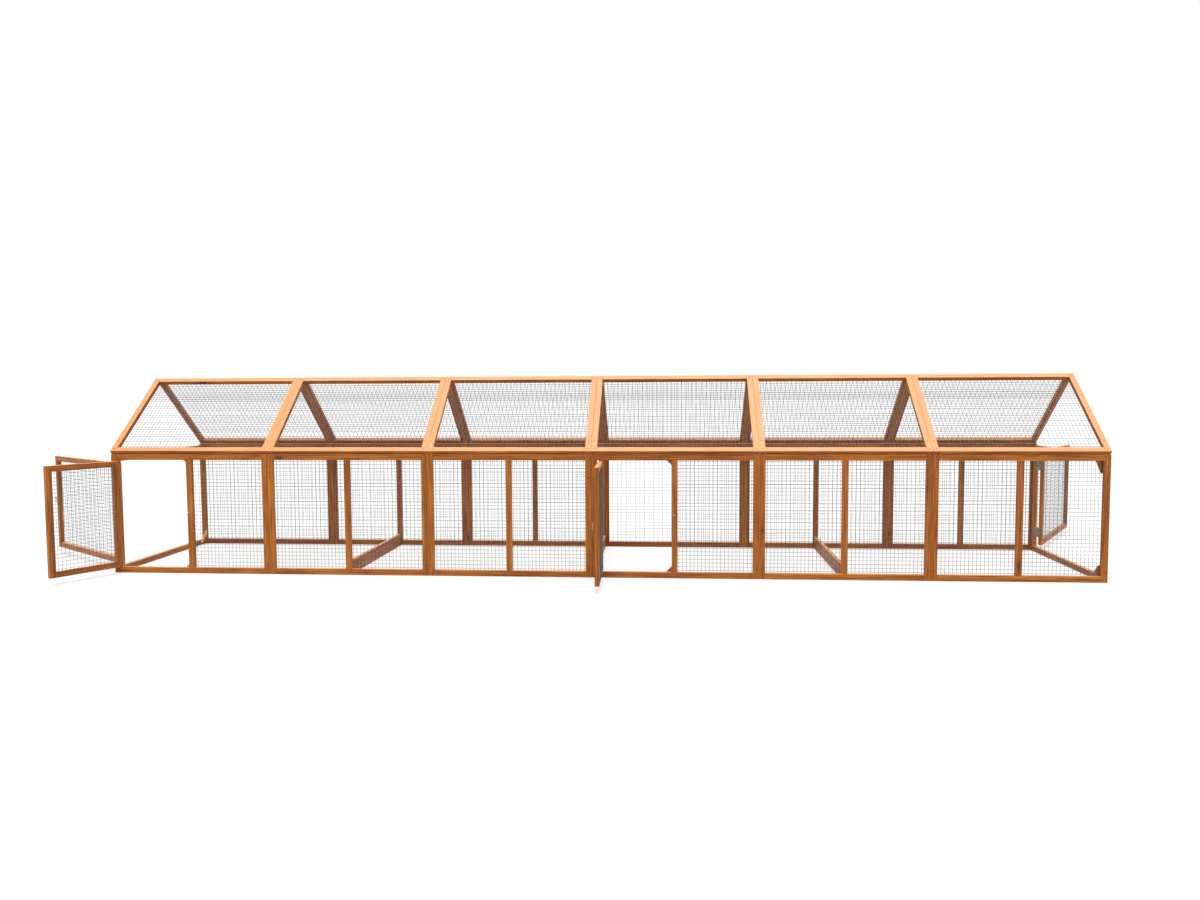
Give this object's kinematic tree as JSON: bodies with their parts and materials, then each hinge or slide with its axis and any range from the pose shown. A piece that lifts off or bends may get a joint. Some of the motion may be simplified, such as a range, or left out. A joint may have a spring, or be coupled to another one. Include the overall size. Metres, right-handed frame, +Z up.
{
  "type": "outdoor rabbit run",
  "caption": "Long low outdoor run of timber-framed wire mesh panels with a pitched mesh roof, cross boards on the ground and side-hung doors in the front and both ends.",
  "frame": {"origin": "on the ground, under the middle of the centre cross board, where the third and fourth bays meet", "axes": "+X along the run to the right of a viewer at the front, +Y from the front wall to the back wall, +Z up"},
  "size_m": [6.2052, 1.9915, 1.0238],
  "materials": {
    "timber": "sawn softwood stick with an orange-brown stain, satin",
    "wire_mesh": "galvanised welded wire",
    "zinc": "zinc-plated steel",
    "brass": "bright, lightly brushed"
  },
  "bodies": {
    "run": {"front_wall_frame_1": "timber", "front_roof_frame_1": "timber", "front_wall_frame_2": "timber", "front_roof_frame_2": "timber", "front_wall_frame_3": "timber", "front_roof_frame_3": "timber", "front_wall_frame_4": "timber", "front_roof_frame_4": "timber", "front_wall_frame_5": "timber", "front_roof_frame_5": "timber", "front_wall_frame_6": "timber", "front_roof_frame_6": "timber", "back_wall_frame_1": "timber", "back_roof_frame_1": "timber", "back_wall_frame_2": "timber", "back_roof_frame_2": "timber", "back_wall_frame_3": "timber", "back_roof_frame_3": "timber", "back_wall_frame_4": "timber", "back_roof_frame_4": "timber", "back_wall_frame_5": "timber", "back_roof_frame_5": "timber", "back_wall_frame_6": "timber", "back_roof_frame_6": "timber", "left_end_frame": "timber", "right_end_frame": "timber", "left_cross_board": "timber", "centre_cross_board": "timber", "right_cross_board": "timber", "front_roof_net": "wire_mesh", "back_roof_net": "wire_mesh", "front_wall_net_left": "wire_mesh", "front_wall_net_right": "wire_mesh", "back_wall_net": "wire_mesh", "front_left_door_eye": "zinc", "front_left_door_hinge_lower": "zinc", "front_left_door_hinge_upper": "zinc", "front_centre_door_eye": "zinc", "front_centre_door_hinge_lower": "zinc", "front_centre_door_hinge_upper": "zinc", "left_end_door_eye": "zinc", "left_end_door_hinge_lower": "zinc", "left_end_door_hinge_upper": "zinc", "right_end_door_eye": "zinc", "right_end_door_hinge_lower": "zinc", "right_end_door_hinge_upper": "zinc"},
    "front_left_door": {"front_left_door_frame": "timber", "front_left_door_net": "wire_mesh"},
    "front_left_door_hook": {"front_left_door_hook": "brass"},
    "front_centre_door": {"front_centre_door_frame": "timber", "front_centre_door_net": "wire_mesh"},
    "front_centre_door_hook": {"front_centre_door_hook": "brass"},
    "left_end_door": {"left_end_door_frame": "timber", "left_end_door_net": "wire_mesh"},
    "left_end_door_hook": {"left_end_door_hook": "brass"},
    "right_end_door": {"right_end_door_frame": "timber", "right_end_door_net": "wire_mesh"},
    "right_end_door_hook": {"right_end_door_hook": "brass"}
  },
  "joints": [
    {"name": "front_left_door_hinge", "type": "hinge", "parent": "run", "child": "front_left_door", "pos_m": [-2.4873, -0.474, 0.296], "axis": [0, 0, -1], "range_deg": [-119, 11]},
    {"name": "front_left_door_hook_pivot", "type": "hinge", "parent": "front_left_door", "child": "front_left_door_hook", "pos_m": [-2.66296, -0.78058, 0.327], "axis": [-0.8746, 0.4848, 0], "range_deg": [-70, 130]},
    {"name": "front_centre_door_hinge", "type": "hinge", "parent": "run", "child": "front_centre_door", "pos_m": [0.0327, -0.474, 0.296], "axis": [0, 0, -1], "range_deg": [-88.5, 81.5]},
    {"name": "front_centre_door_hook_pivot", "type": "hinge", "parent": "front_centre_door", "child": "front_centre_door_hook", "pos_m": [0.03695, -0.82731, 0.327], "axis": [-0.9997, -0.0262, 0], "range_deg": [-70, 130]},
    {"name": "left_end_door_hinge", "type": "hinge", "parent": "run", "child": "left_end_door", "pos_m": [-2.524, -0.4152, 0.296], "axis": [0, 0, 1], "range_deg": [-54, 56]},
    {"name": "left_end_door_hook_pivot", "type": "hinge", "parent": "left_end_door", "child": "left_end_door_hook", "pos_m": [-3.20967, 0.07679, 0.327], "axis": [0.5878, 0.809, 0], "range_deg": [-70, 130]},
    {"name": "right_end_door_hinge", "type": "hinge", "parent": "run", "child": "right_end_door", "pos_m": [2.524, 0.4152, 0.296], "axis": [0, 0, 1], "range_deg": [-149, 16]},
    {"name": "right_end_door_hook_pivot", "type": "hinge", "parent": "right_end_door", "child": "right_end_door_hook", "pos_m": [2.95436, 1.14114, 0.327], "axis": [0.8572, -0.515, 0], "range_deg": [-70, 130]}
  ]
}
